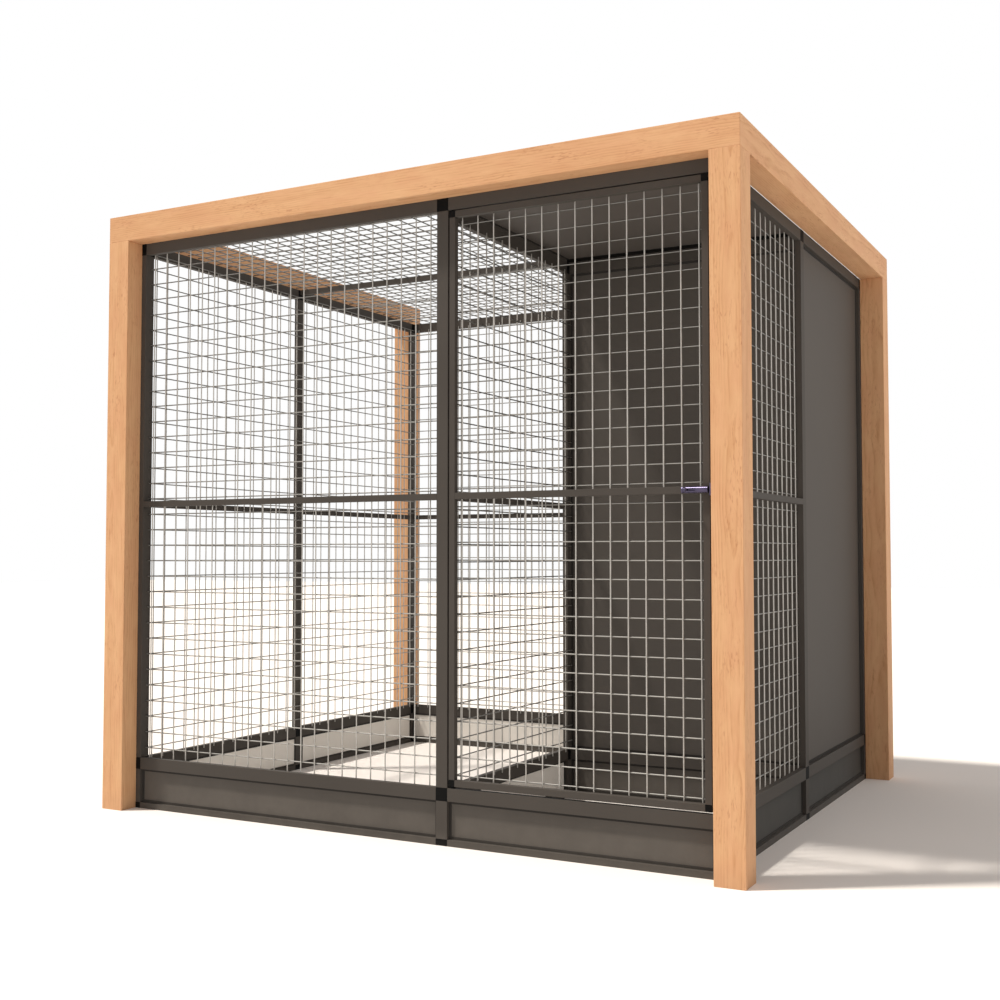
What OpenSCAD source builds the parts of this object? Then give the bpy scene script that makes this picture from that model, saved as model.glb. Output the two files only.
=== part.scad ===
/* [Timber] */
// Width over the timber posts
overall_w = 2310; // [2200:10:2600]
// Depth over the timber posts
overall_d = 1950; // [1800:10:2200]
// Height of the timber posts, and of the metal frame between them
post_h = 1990; // [1850:10:2200]
// Side of the square timber
timber = 90; // [85:1:110]
// Bevel along the timber's long edges
timber_bevel = 2; // [1:0.5:6]
// Diameter of the steel dowels that hold the timber together
dowel_d = 12; // [8:1:16]
// Length of those dowels, half in the post and half in the beam
dowel_l = 120; // [80:10:150]
// Distance from the timber's nearer faces to the axis of a corner dowel
dowel_edge = 27; // [25:1:30]

/* [Metal frame] */
// Distance from the face of the timber back to the face of the metal frame
frame_setback = 68; // [60:1:74]
// Wide side of the frame tubes
tube_w = 40; // [36:1:50]
// Narrow side of the frame tubes, and both sides of the slim ones
tube_t = 20; // [18:1:24]
// Wall of every tube
tube_wall = 1.5; // [1:0.1:2]
// Height of the underside of the lower rail
kick_h = 135; // [110:1:180]
// Length of the plugs that hold the tubes on their connectors
plug_l = 30; // [20:1:40]
// Gap around a plug in its tube
plug_gap = 0.1; // [0.05:0.05:0.2]
// Diameter of the pins between the frame and the timber
frame_pin_d = 8; // [6:1:10]
// Depth of such a pin in the timber
frame_pin_depth = 30; // [20:1:50]
// Depth of such a pin in the frame's connector
frame_pin_in_frame = 15; // [10:1:16]

/* [Mesh] */
// Spacing of the wires
mesh_pitch = 54.67; // [45:0.01:65]
// Diameter of the wire
wire_d = 4; // [2.5:0.1:5]
// Length of wire that lies on the back of a tube
mesh_lap = 9; // [4:0.5:9.5]
// Least distance from the first wire to the edge of a centred opening
mesh_margin = 13; // [8:1:20]
// Distance that the front and left meshes sit below the middle of their openings
run_mesh_drop = 8; // [0:0.5:8]
// The same for the meshes of the door and the right wall
door_mesh_drop = 5; // [0:0.5:8]
// Distance that the front mesh sits left of the middle of its opening
front_mesh_shift = 6; // [0:0.5:8]
// Gap left at every weld, and between the mesh and the tubes
weld_gap = 0.05; // [0.02:0.01:0.1]
// Gap at the end of a wire that stops against a tube
wire_end_gap = 0.1; // [0.05:0.05:0.3]

/* [Panels] */
// Thickness of the closed panels
panel_t = 4; // [3:0.5:5]
// Depth of the rubber profile around a panel
seal_t = 8; // [7:0.5:10]
// Width of that profile, as it shows around a panel
seal_w = 8; // [7:0.5:12]
// Depth by which a panel sits in its rubber profile
panel_bite = 6; // [4:0.5:6]
// Gap around a panel in its rubber profile
panel_gap = 0.1; // [0.05:0.05:0.2]
// Distance from the top of the frame down to the profile of the roof panels
roof_seal_drop = 2; // [1:0.5:6]
// Distance that the profiles of the shelter's front stand in from the corners of its posts
shelter_seal_inset = 1; // [0.5:0.5:4]
// Width of the cat's way into the shelter
hatch_w = 180; // [150:5:220]
// Height of the cat's way into the shelter
hatch_h = 220; // [180:5:260]
// Height of that opening's lower edge above the lower rail
hatch_rise = 30; // [20:5:80]
// Width of the trim around that opening
trim_w = 20; // [15:1:30]
// Thickness of the trim's flange
trim_t = 4; // [3:0.5:5]
// Wall of the trim's sleeve, which passes through the panel
trim_wall = 3; // [2:0.5:4]
// Gap between that sleeve and the panel
trim_gap = 0.2; // [0.1:0.1:0.5]

/* [Door] */
// Width of the door
door_w = 834; // [700:2:900]
// Gap at each side of the door
door_gap = 5; // [5:0.5:8]
// Gap above the door
door_gap_top = 4; // [3:0.5:6]
// Gap below the door
door_gap_bottom = 6; // [4:0.5:8]
// Diameter of the pivot pins
pivot_d = 10; // [8:0.5:11]
// Length of a pivot pin in the frame
pivot_in_frame = 25; // [20:1:35]
// Length of a pivot pin in the door
pivot_in_door = 35; // [25:1:45]
// Running clearance around a pin or rod
running_gap = 0.05; // [0.02:0.01:0.1]
// Play along the pivots
end_play = 0.2; // [0.1:0.1:0.5]
// Wall of the washers on the pivots
washer_wall = 3; // [2:0.5:4]

/* [Bolt] */
// Diameter of the sliding rod
rod_d = 12; // [8:1:13]
// Travel of the rod
bolt_travel = 22; // [16:1:24]
// Outer diameter of the barrel
barrel_d = 19; // [17:0.5:22]
// Length of the barrel
barrel_l = 76; // [66:1:90]
// Wall that closes the barrel's far end
barrel_end_wall = 2.5; // [1.5:0.5:4]
// Distance from the closed end of the barrel to its groove
groove_at = 4; // [3:0.5:5]
// Width of that groove
groove_w = 5; // [3:0.5:5]
// Depth of that groove
groove_depth = 1.5; // [0.5:0.5:2]
// Height of the foot that carries the barrel
foot_h = 14; // [10:1:16]
// Distance from the barrel's end back to the latch edge of the door
barrel_inset = 1; // [1:0.5:4]
// Gap between the barrel and the door's front face
barrel_standoff = 1.5; // [1:0.5:4]
// Diameter of the knob's stem
stem_d = 7; // [5:0.5:8]
// Diameter of the knob
knob_d = 12; // [10:1:16]
// Length from the rod's axis to the knob's centre
knob_reach = 21; // [18:1:28]
// Distance from the closed end of the barrel to the knob when the bolt is drawn
knob_back = 15; // [12:1:20]
// Clearance around the rod in its keeper
keeper_gap = 0.5; // [0.3:0.1:1]
// Height of the keeper
keeper_h = 34; // [30:1:40]
// Wall of the keeper in front of the rod
keeper_wall = 5; // [3:0.5:6]
// Distance from the keeper's sides to the sides of the corner tube
keeper_inset = 1; // [0.5:0.5:3]
// Diameter of the bolt's screws
screw_d = 4; // [3:0.5:5]
// Height of a screw's head
screw_head_h = 2.5; // [2:0.5:3]
// Metal left between a screw's tip and the bore of the rod
screw_tip_wall = 1; // [0.5:0.1:1.2]

/* [Hidden] */
$fn = 48;
wire_facets = 24;
// Allowance that carries a cut past the face that it opens
cut = 1;
X = 0;
Y = 1;
Z = 2;
timber_colour = "#d9a878";
frame_colour = "#56504b";
panel_colour = "#5f5852";
kick_colour = "#c9c2bb";
wire_colour = "#b8b0a6";
plastic_colour = "#1d1c1c";
rubber_colour = "#2a2725";
bolt_colour = "#4a4452";
steel_colour = "#c8c8c8";

// The frame's outer faces, measured from the front left corner of the timber
west = timber;
east = overall_w - timber;
south = frame_setback;
north = overall_d - frame_setback;
// The inner faces of the walls, which are one narrow tube thick
west_in = west + tube_t;
east_in = east - tube_t;
south_in = south + tube_t;
north_in = north - tube_t;
// The centre post stands beside the door, and the partition behind it
centre_e = east_in - door_w - 2 * door_gap;
centre_w = centre_e - tube_w;
inner_w = centre_w + (tube_w - tube_t) / 2;
inner_e = inner_w + tube_t;
// The mid posts stand halfway back
mid_s = (overall_d - tube_w) / 2;
mid_n = mid_s + tube_w;
cross_s = (overall_d - tube_t) / 2;
cross_n = cross_s + tube_t;
shelter_s = mid_n - tube_t;

// Levels of the rails: [underside, top]
bottom_level = [0, tube_t];
lower_level = [kick_h, kick_h + tube_w];
top_level = [post_h - tube_w, post_h];
inner_top_level = [post_h - tube_t - tube_w, post_h - tube_t];
beam_level = [post_h - tube_t, post_h];
mid_level = [
    (lower_level[1] + top_level[0] - tube_t) / 2,
    (lower_level[1] + top_level[0] + tube_t) / 2
];
kick_level = [bottom_level[1], lower_level[0]];
wall_level = [lower_level[1], top_level[0]];
inner_wall_level = [lower_level[1], inner_top_level[0]];

// Footprints of the metal posts: [low corner, high corner] in plan
corners = [
    [[west, south], [west_in, south + tube_w]],
    [[east_in, south], [east, south + tube_w]],
    [[west, north - tube_w], [west_in, north]],
    [[east_in, north - tube_w], [east, north]]
];
front_centre = [[centre_w, south], [centre_e, south_in]];
rear_centre = [[centre_w, north_in], [centre_e, north]];
left_mid = [[west, mid_s], [west_in, mid_n]];
right_mid = [[east_in, mid_s], [east, mid_n]];
inner_mid = [[inner_w, mid_s], [inner_e, mid_n]];
roof_cross = [[inner_w, cross_s], [inner_e, cross_n]];
outer_posts = concat(corners, [front_centre, rear_centre, left_mid, right_mid]);

// A tube is [low corner, high corner, axis]
function upright(plan, level) = [concat(plan[0], level[0]), concat(plan[1], level[1]), Z];
function along_x(x0, x1, y0, y1, level) = [[x0, y0, level[0]], [x1, y1, level[1]], X];
function along_y(x0, x1, y0, y1, level) = [[x0, y0, level[0]], [x1, y1, level[1]], Y];
function post_tubes(plan, head) = [
    upright(plan, kick_level),
    upright(plan, [lower_level[1], head])
];
function front_tubes(level) = [
    along_x(west_in, centre_w, south, south_in, level),
    along_x(centre_e, east_in, south, south_in, level)
];
function rear_tubes(level) = [
    along_x(west_in, centre_w, north_in, north, level),
    along_x(centre_e, east_in, north_in, north, level)
];
function side_tubes(x0, level) = [
    along_y(x0, x0 + tube_t, south + tube_w, mid_s, level),
    along_y(x0, x0 + tube_t, mid_n, north - tube_w, level)
];
function partition_tubes(level) = [
    along_y(inner_w, inner_e, south_in, mid_s, level),
    along_y(inner_w, inner_e, mid_n, north_in, level)
];
function shelter_tubes(level) = [along_x(inner_e, east_in, shelter_s, mid_n, level)];
kick_levels = [bottom_level, lower_level];
roof_centre_tubes = [
    along_y(inner_w, inner_e, south_in, cross_s, beam_level),
    along_y(inner_w, inner_e, cross_n, north_in, beam_level)
];
roof_cross_tubes = [
    along_x(west_in, inner_w, cross_s, cross_n, beam_level),
    along_x(inner_e, east_in, cross_s, cross_n, beam_level)
];
function outer_tubes(level) = concat(
    front_tubes(level), rear_tubes(level), side_tubes(west, level), side_tubes(east_in, level)
);
outer_rail_tubes = [for (level = [bottom_level, lower_level, top_level]) each outer_tubes(level)];
inner_kick_tubes = [for (level = kick_levels) each concat(partition_tubes(level), shelter_tubes(level))];
outer_post_tubes = [for (plan = outer_posts) each post_tubes(plan, top_level[0])];
inner_post_tubes = post_tubes(inner_mid, inner_top_level[0]);

// The door, closed
door_w0 = centre_e + door_gap;
door_e0 = east_in - door_gap;
door_level = [lower_level[1] + door_gap_bottom, top_level[0] - door_gap_top];
door_stile_level = [door_level[0] + tube_t, door_level[1] - tube_t];
door_mid_z = (door_level[0] + door_level[1]) / 2;
pivot_x = door_w0 + tube_t / 2;
pivot_y = south + tube_t / 2;

// The bolt, drawn back
barrel_e = door_e0 - barrel_inset;
barrel_w = barrel_e - barrel_l;
bolt_y = south - barrel_standoff - barrel_d / 2;
knob_x = barrel_w + knob_back;
rod_w = barrel_w + barrel_end_wall + end_play;
rod_e = barrel_e - end_play;
keeper_w0 = east_in + keeper_inset;
keeper_e0 = east - keeper_inset;
keeper_slot = rod_d + 2 * keeper_gap;
keeper_s = bolt_y - keeper_slot / 2 - keeper_wall;
keeper_screw_rise = (keeper_slot + keeper_h) / 4;
keeper_screw_x = (keeper_w0 + keeper_e0) / 2;
screw_grip = barrel_standoff + (barrel_d - rod_d) / 2 - screw_tip_wall;
barrel_screw_xs = [barrel_w + knob_back, door_e0 - tube_t / 2];

// The cat's way in, in the wall between the run and the shelter
hatch_s = (mid_n + north_in - hatch_w) / 2;
hatch_level = [lower_level[1] + hatch_rise, lower_level[1] + hatch_rise + hatch_h];

// Everything is laid out from the timber's corner and then centred on the ground
module placed() {
    translate([-overall_w / 2, -overall_d / 2, 0]) children();
}

module block(low, high) {
    translate(low) cube(high - low);
}

function grown(by, along, ends) = [for (i = [0:2]) i == along ? ends : by];

// A tube is open at both ends
module tube(t) {
    difference() {
        block(t[0], t[1]);
        block(t[0] + grown(tube_wall, t[2], -cut), t[1] - grown(tube_wall, t[2], -cut));
    }
}

module tubes(list) {
    for (t = list) tube(t);
}

// The solid core of a connector fills the space between the tubes
module core(plan, level) {
    ends = upright(plan, level);
    block(ends[0], ends[1]);
}

// A plug fills one end of a tube: the low end or the high one
module plug(t, high_end) {
    inset = tube_wall + plug_gap;
    low = t[0] + grown(inset, t[2], -cut);
    high = t[1] - grown(inset, t[2], -cut);
    shift = (t[1] - t[0])[t[2]] + cut - plug_l;
    keep = grown(0, t[2], shift);
    block(high_end ? low + keep : low, high_end ? high : high - keep);
}

module both_plugs(list) {
    for (t = list) {
        plug(t, false);
        plug(t, true);
    }
}

// Square timber with bevelled edges, standing on the plane z = 0
module timber_stick(length) {
    b = timber_bevel;
    s = timber;
    linear_extrude(length)
        polygon([[b, 0], [s - b, 0], [s, b], [s, s - b], [s - b, s], [b, s], [0, s - b], [0, b]]);
}

// Dowels: two at each mitred front corner, one at each rear corner
left_dowels = [
    [timber - dowel_edge, dowel_edge],
    [dowel_edge, timber - dowel_edge],
    [timber / 2, overall_d - timber / 2]
];
dowel_places = concat(left_dowels, [for (p = left_dowels) [overall_w - p[0], p[1]]]);

module dowel_holes() {
    for (p = dowel_places) {
        translate([p[0], p[1], post_h - dowel_l / 2 - cut])
            cylinder(d = dowel_d + 2 * running_gap, h = dowel_l + 2 * cut);
    }
}

// Pins from the frame's corner connectors into the posts
frame_pin_y = (south + timber) / 2;
frame_pin_levels = [
    (bottom_level[0] + bottom_level[1]) / 2,
    (lower_level[0] + lower_level[1]) / 2,
    (top_level[0] + top_level[1]) / 2
];

module frame_pin_set(d, slack) {
    for (y = [frame_pin_y, overall_d - frame_pin_y], z = frame_pin_levels) {
        translate([west - frame_pin_depth - slack, y, z])
            rotate([0, 90, 0]) cylinder(d = d, h = frame_pin_depth + frame_pin_in_frame + 2 * slack);
        translate([east - frame_pin_in_frame - slack, y, z])
            rotate([0, 90, 0]) cylinder(d = d, h = frame_pin_depth + frame_pin_in_frame + 2 * slack);
    }
}

module timber_post(x, y) {
    color(timber_colour) placed() difference() {
        translate([x, y, 0]) timber_stick(post_h);
        dowel_holes();
        frame_pin_set(frame_pin_d + 2 * running_gap, cut);
    }
}

module post_front_left() {
    timber_post(0, 0);
}

module post_front_right() {
    timber_post(overall_w - timber, 0);
}

module post_rear_left() {
    timber_post(0, overall_d - timber);
}

module post_rear_right() {
    timber_post(overall_w - timber, overall_d - timber);
}

// Wedge that cuts a mitre at the front left corner, from the side beam's share
module mitre_wedge(front) {
    reach = timber + cut;
    translate([0, 0, post_h - cut]) linear_extrude(timber + 2 * cut)
        polygon(front
            ? [[-cut, -cut], [reach, reach], [-cut, reach]]
            : [[-cut, -cut], [reach, reach], [reach, -cut]]);
}

module beam_front() {
    color(timber_colour) placed() difference() {
        translate([0, 0, post_h + timber]) rotate([0, 90, 0]) timber_stick(overall_w);
        mitre_wedge(true);
        translate([overall_w, 0, 0]) mirror([1, 0, 0]) mitre_wedge(true);
        dowel_holes();
    }
}

module side_beam() {
    difference() {
        translate([0, overall_d, post_h]) rotate([90, 0, 0]) timber_stick(overall_d);
        mitre_wedge(false);
        dowel_holes();
    }
}

module beam_left() {
    color(timber_colour) placed() side_beam();
}

module beam_right() {
    color(timber_colour) placed() translate([overall_w, 0, 0]) mirror([1, 0, 0]) side_beam();
}

module beam_dowels() {
    color(steel_colour) placed() for (p = dowel_places) {
        translate([p[0], p[1], post_h - dowel_l / 2]) cylinder(d = dowel_d, h = dowel_l);
    }
}

module frame_pins() {
    color(steel_colour) placed() frame_pin_set(frame_pin_d, 0);
}

module corner_tubes() {
    color(frame_colour) placed() for (plan = corners) tubes(post_tubes(plan, top_level[0]));
}

module front_centre_post() {
    color(frame_colour) placed() tubes(post_tubes(front_centre, top_level[0]));
}

module rear_centre_post() {
    color(frame_colour) placed() tubes(post_tubes(rear_centre, top_level[0]));
}

module left_mid_post() {
    color(frame_colour) placed() tubes(post_tubes(left_mid, top_level[0]));
}

module right_mid_post() {
    color(frame_colour) placed() tubes(post_tubes(right_mid, top_level[0]));
}

module inner_post() {
    color(frame_colour) placed() tubes(inner_post_tubes);
}

// Bores for the door's pivots, through the rails and the plugs inside them
module frame_pivot_bores() {
    d = pivot_d + 2 * running_gap;
    translate([pivot_x, pivot_y, lower_level[1] - pivot_in_frame - cut])
        cylinder(d = d, h = pivot_in_frame + 2 * cut);
    translate([pivot_x, pivot_y, top_level[0] - cut])
        cylinder(d = d, h = pivot_in_frame + 2 * cut);
}

module front_top_rail() {
    color(frame_colour) placed() difference() {
        tubes(front_tubes(top_level));
        frame_pivot_bores();
    }
}

module rear_top_rail() {
    color(frame_colour) placed() tubes(rear_tubes(top_level));
}

module left_top_rail() {
    color(frame_colour) placed() tubes(side_tubes(west, top_level));
}

module right_top_rail() {
    color(frame_colour) placed() tubes(side_tubes(east_in, top_level));
}

module front_kick_rails() {
    color(frame_colour) placed() difference() {
        for (level = kick_levels) tubes(front_tubes(level));
        frame_pivot_bores();
    }
}

module rear_kick_rails() {
    color(frame_colour) placed() for (level = kick_levels) tubes(rear_tubes(level));
}

module left_kick_rails() {
    color(frame_colour) placed() for (level = kick_levels) tubes(side_tubes(west, level));
}

module right_kick_rails() {
    color(frame_colour) placed() for (level = kick_levels) tubes(side_tubes(east_in, level));
}

// Slim rails halfway up the mesh bays
module mid_rails() {
    color(frame_colour) placed() {
        tube(front_tubes(mid_level)[0]);
        tube(rear_tubes(mid_level)[0]);
        tubes(side_tubes(west, mid_level));
        tube(side_tubes(east_in, mid_level)[0]);
        tube(partition_tubes(mid_level)[0]);
    }
}

module partition_top_rail() {
    color(frame_colour) placed() tubes(partition_tubes(inner_top_level));
}

module partition_kick_rails() {
    color(frame_colour) placed() for (level = kick_levels) tubes(partition_tubes(level));
}

module shelter_top_rail() {
    color(frame_colour) placed() tubes(shelter_tubes(inner_top_level));
}

module shelter_kick_rails() {
    color(frame_colour) placed() for (level = kick_levels) tubes(shelter_tubes(level));
}

module roof_centre_beam() {
    color(frame_colour) placed() tubes(roof_centre_tubes);
}

module roof_cross_beam() {
    color(frame_colour) placed() tubes(roof_cross_tubes);
}

// Each connector is a solid block with a plug for every tube that meets it
module frame_connectors() {
    color(plastic_colour) placed() difference() {
        union() {
            for (plan = outer_posts, level = [bottom_level, lower_level, top_level]) core(plan, level);
            for (level = [bottom_level, lower_level, inner_top_level]) core(inner_mid, level);
            core(roof_cross, beam_level);
            both_plugs(concat(outer_rail_tubes, outer_post_tubes, inner_post_tubes));
            both_plugs(concat(inner_kick_tubes, roof_centre_tubes, roof_cross_tubes));
            plug(partition_tubes(inner_top_level)[0], true);
            plug(partition_tubes(inner_top_level)[1], false);
            plug(shelter_tubes(inner_top_level)[0], false);
        }
        frame_pivot_bores();
        frame_pin_set(frame_pin_d + 2 * running_gap, 0);
    }
}

// Places of the wires in an opening, one pitch apart and shifted off its middle. One more wire
// lies on the tube at an end where the lap has room for it.
function wire_places(ends, laps, shift) =
    let (
        n = floor((ends[1] - ends[0] - 2 * mesh_margin) / mesh_pitch),
        first = (ends[0] + ends[1] - n * mesh_pitch) / 2 + shift,
        reach = mesh_pitch + wire_d / 2,
        before = first - reach >= ends[0] - laps[0] ? 1 : 0,
        after = first + n * mesh_pitch + reach <= ends[1] + laps[1] ? 1 : 0
    )
    [for (i = [-before:n + after]) first + i * mesh_pitch];

module wire(low, length, along) {
    translate(low)
        rotate(along == X ? [0, 90, 0] : along == Y ? [-90, 0, 0] : [0, 0, 0])
            cylinder(d = wire_d, h = length, $fn = wire_facets);
}

// Welded mesh across an opening. u and v are the two axes of its plane, and face is the plane
// that the first wires, along v, lie against. side is the way that the mesh stands off that
// plane. us and vs give the opening, and laps how far the wires run past each end of it.
module welded_mesh(u, v, us, vs, face, side, u_laps, v_laps, u_shift = 0, v_shift = 0) {
    n = 3 - u - v;
    first = face + side * (wire_d / 2 + weld_gap);
    second = first + side * (wire_d + weld_gap);
    for (p = wire_places(us, u_laps, u_shift)) {
        wire([for (i = [0:2]) i == u ? p : i == v ? vs[0] - v_laps[0] : first],
            vs[1] - vs[0] + v_laps[0] + v_laps[1], v);
    }
    for (p = wire_places(vs, v_laps, v_shift)) {
        wire([for (i = [0:2]) i == v ? p : i == u ? us[0] - u_laps[0] : second],
            us[1] - us[0] + u_laps[0] + u_laps[1], u);
    }
}
laps = [mesh_lap, mesh_lap];
butt = -wire_end_gap;
// The wires end at the partition's tubes, halfway across a mid post, or at the shelter's tubes
centre_lap = (tube_w - tube_t) / 2 - wire_end_gap;
mid_lap = tube_w / 2 - wire_end_gap;
shelter_lap = tube_w - tube_t - wire_end_gap;

module front_mesh() {
    color(wire_colour) placed()
        welded_mesh(X, Z, [west_in, centre_w], wall_level, south_in, 1, [butt, centre_lap], laps,
            -front_mesh_shift, -run_mesh_drop);
}

module rear_mesh() {
    color(wire_colour) placed()
        welded_mesh(X, Z, [west_in, centre_w], wall_level, north_in, -1, [butt, centre_lap], laps);
}

module left_mesh() {
    color(wire_colour) placed() {
        welded_mesh(Y, Z, [south + tube_w, mid_s], wall_level, west_in, 1, [mesh_lap, mid_lap], laps,
            0, -run_mesh_drop);
        welded_mesh(Y, Z, [mid_n, north - tube_w], wall_level, west_in, 1, [mid_lap, mesh_lap], laps,
            0, -run_mesh_drop);
    }
}

module right_mesh() {
    color(wire_colour) placed()
        welded_mesh(Y, Z, [south + tube_w, mid_s], wall_level, east_in, -1, [mesh_lap, shelter_lap],
            laps, 0, -door_mesh_drop);
}

module partition_mesh() {
    color(wire_colour) placed()
        welded_mesh(Y, Z, [south_in, mid_s], inner_wall_level, inner_e, 1, [butt, shelter_lap], laps);
}

// The roof's mesh lies on the rails and stops against the front beam
module roof_mesh() {
    front = max(timber, south_in);
    color(wire_colour) placed()
        welded_mesh(X, Y, [west_in, inner_w], [front, north_in], post_h, 1, laps, [butt, mesh_lap]);
}

// The rubber profile of a closed panel fills [low corner, high corner, axis across the panel]
seal_lip = (seal_t - panel_t) / 2;
function opening(n, a, b, seal_low) = [
    [for (i = [0:2]) i == n ? seal_low : a[i]],
    [for (i = [0:2]) i == n ? seal_low + seal_t : b[i]],
    n
];
function wall_y(low, x0, x1, level) = opening(Y, [x0, 0, level[0]], [x1, 0, level[1]], low);
function wall_x(low, y0, y1, level) = opening(X, [0, y0, level[0]], [0, y1, level[1]], low);
function roof_opening(y0, y1) =
    opening(Z, [inner_e, y0, 0], [east_in, y1, 0], post_h - roof_seal_drop - seal_t);
seal_south = south_in - seal_t;
seal_west = west_in - seal_t;
seal_shelter = mid_n - seal_t - shelter_seal_inset;

outer_kicks = [
    wall_y(seal_south, west_in, centre_w, kick_level),
    wall_y(seal_south, centre_e, east_in, kick_level),
    wall_y(north_in, west_in, centre_w, kick_level),
    wall_y(north_in, centre_e, east_in, kick_level),
    wall_x(seal_west, south + tube_w, mid_s, kick_level),
    wall_x(seal_west, mid_n, north - tube_w, kick_level),
    wall_x(east_in, south + tube_w, mid_s, kick_level),
    wall_x(east_in, mid_n, north - tube_w, kick_level)
];
inner_kicks = [
    wall_x(inner_w, south_in, mid_s, kick_level),
    wall_x(inner_w, mid_n, north_in, kick_level),
    wall_y(seal_shelter, inner_e, east_in, kick_level)
];
right_opening = wall_x(east_in, mid_n, north - tube_w, wall_level);
rear_opening = wall_y(north_in, centre_e, east_in, wall_level);
shelter_side_opening = wall_x(inner_e - seal_t, mid_n, north_in, inner_wall_level);
shelter_front_opening = wall_y(seal_shelter, inner_e, east_in, inner_wall_level);
roof_openings = [roof_opening(south_in, cross_s), roof_opening(cross_n, north_in)];
all_openings = concat(
    outer_kicks, inner_kicks, roof_openings,
    [right_opening, rear_opening, shelter_side_opening, shelter_front_opening]
);

// The sheet itself, let into the rubber on all four sides, or with slack the groove for it
module sheet(o, slack = 0) {
    inset = grown(seal_w - panel_bite - slack, o[2], seal_lip - slack);
    block(o[0] + inset, o[1] - inset);
}

module seal(o) {
    window = grown(seal_w, o[2], -cut);
    difference() {
        block(o[0], o[1]);
        block(o[0] + window, o[1] - window);
        sheet(o, panel_gap);
    }
}

module outer_kick_panels() {
    color(kick_colour) placed() for (o = outer_kicks) sheet(o);
}

module inner_kick_panels() {
    color(kick_colour) placed() for (o = inner_kicks) sheet(o);
}

module right_panel() {
    color(panel_colour) placed() sheet(right_opening);
}

module rear_panel() {
    color(panel_colour) placed() sheet(rear_opening);
}

// The trim's sleeve passes through this hole
module hatch_hole(by) {
    block([inner_w - tube_t, hatch_s - by, hatch_level[0] - by],
        [inner_e + tube_t, hatch_s + hatch_w + by, hatch_level[1] + by]);
}

module shelter_side_panel() {
    color(panel_colour) placed() difference() {
        sheet(shelter_side_opening);
        hatch_hole(trim_wall + trim_gap);
    }
}

module shelter_front_panel() {
    color(panel_colour) placed() sheet(shelter_front_opening);
}

module roof_panels() {
    color(panel_colour) placed() for (o = roof_openings) sheet(o);
}

module panel_seals() {
    color(rubber_colour) placed() for (o = all_openings) seal(o);
}

// A strip of rubber hangs under the lobby's roof, along the cross beam
module roof_strip() {
    color(rubber_colour) placed()
        block([inner_e, cross_s - seal_w, beam_level[0]], [east_in, cross_s, roof_openings[0][0][Z]]);
}

// A flange on the run's side of the panel, and a sleeve through it
module hatch_trim() {
    face = shelter_side_opening[0][0] + seal_lip;
    y1 = hatch_s + hatch_w;
    color(plastic_colour) placed() difference() {
        union() {
            block([face - trim_t, hatch_s - trim_w, hatch_level[0] - trim_w],
                [face, y1 + trim_w, hatch_level[1] + trim_w]);
            block([face - trim_t, hatch_s - trim_wall, hatch_level[0] - trim_wall],
                [face + panel_t + trim_wall, y1 + trim_wall, hatch_level[1] + trim_wall]);
        }
        hatch_hole(0);
    }
}

// The door's frame
hinge_stile_plan = [[door_w0, south], [door_w0 + tube_t, south_in]];
latch_stile_plan = [[door_e0 - tube_t, south], [door_e0, south_in]];
door_rail_levels = [
    [door_level[0], door_stile_level[0]],
    [door_mid_z - tube_t / 2, door_mid_z + tube_t / 2],
    [door_stile_level[1], door_level[1]]
];
function door_rail(level) = along_x(door_w0 + tube_t, door_e0 - tube_t, south, south_in, level);

module door_hinge_stile() {
    color(frame_colour) placed() tube(upright(hinge_stile_plan, door_stile_level));
}

module door_latch_stile() {
    color(frame_colour) placed() difference() {
        tube(upright(latch_stile_plan, door_stile_level));
        barrel_screw_holes();
    }
}

module door_rails() {
    color(frame_colour) placed() difference() {
        for (level = door_rail_levels) tube(door_rail(level));
        barrel_screw_holes();
    }
}

module door_pivot_bores() {
    d = pivot_d + 2 * running_gap;
    translate([pivot_x, pivot_y, door_level[0] - cut])
        cylinder(d = d, h = pivot_in_door + end_play + cut);
    translate([pivot_x, pivot_y, door_level[1] - pivot_in_door - end_play])
        cylinder(d = d, h = pivot_in_door + end_play + cut);
}

module door_connectors() {
    color(plastic_colour) placed() difference() {
        union() {
            for (plan = [hinge_stile_plan, latch_stile_plan]) {
                core(plan, door_rail_levels[0]);
                core(plan, door_rail_levels[2]);
                both_plugs([upright(plan, door_stile_level)]);
            }
            both_plugs([door_rail(door_rail_levels[0]), door_rail(door_rail_levels[2])]);
        }
        door_pivot_bores();
    }
}

module door_mesh() {
    color(wire_colour) placed()
        welded_mesh(X, Z, [door_w0 + tube_t, door_e0 - tube_t], door_stile_level, south_in, 1,
            laps, laps, 0, -door_mesh_drop);
}

module pivot_pins() {
    length = pivot_in_frame + pivot_in_door;
    color(steel_colour) placed() {
        translate([pivot_x, pivot_y, lower_level[1] - pivot_in_frame])
            cylinder(d = pivot_d, h = length + door_gap_bottom);
        translate([pivot_x, pivot_y, door_level[1] - pivot_in_door])
            cylinder(d = pivot_d, h = length + door_gap_top);
    }
}

module washer(z, h) {
    translate([pivot_x, pivot_y, z]) difference() {
        cylinder(d = pivot_d + 2 * washer_wall, h = h);
        translate([0, 0, -cut]) cylinder(d = pivot_d + 2 * running_gap, h = h + 2 * cut);
    }
}

module pivot_washers() {
    color(plastic_colour) placed() {
        washer(lower_level[1], door_gap_bottom - end_play);
        washer(door_level[1] + end_play, door_gap_top - end_play);
    }
}

// A cylinder along the bolt's axis
module bolt_round(d, x0, x1) {
    translate([x0, bolt_y, door_mid_z]) rotate([0, 90, 0]) cylinder(d = d, h = x1 - x0);
}

module barrel_screw_set(d, y0, y1) {
    for (x = barrel_screw_xs) {
        translate([x, y0, door_mid_z]) rotate([-90, 0, 0]) cylinder(d = d, h = y1 - y0);
    }
}

module barrel_screw_holes() {
    barrel_screw_set(screw_d + 2 * running_gap, south - screw_grip, south_in + cut);
}

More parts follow.
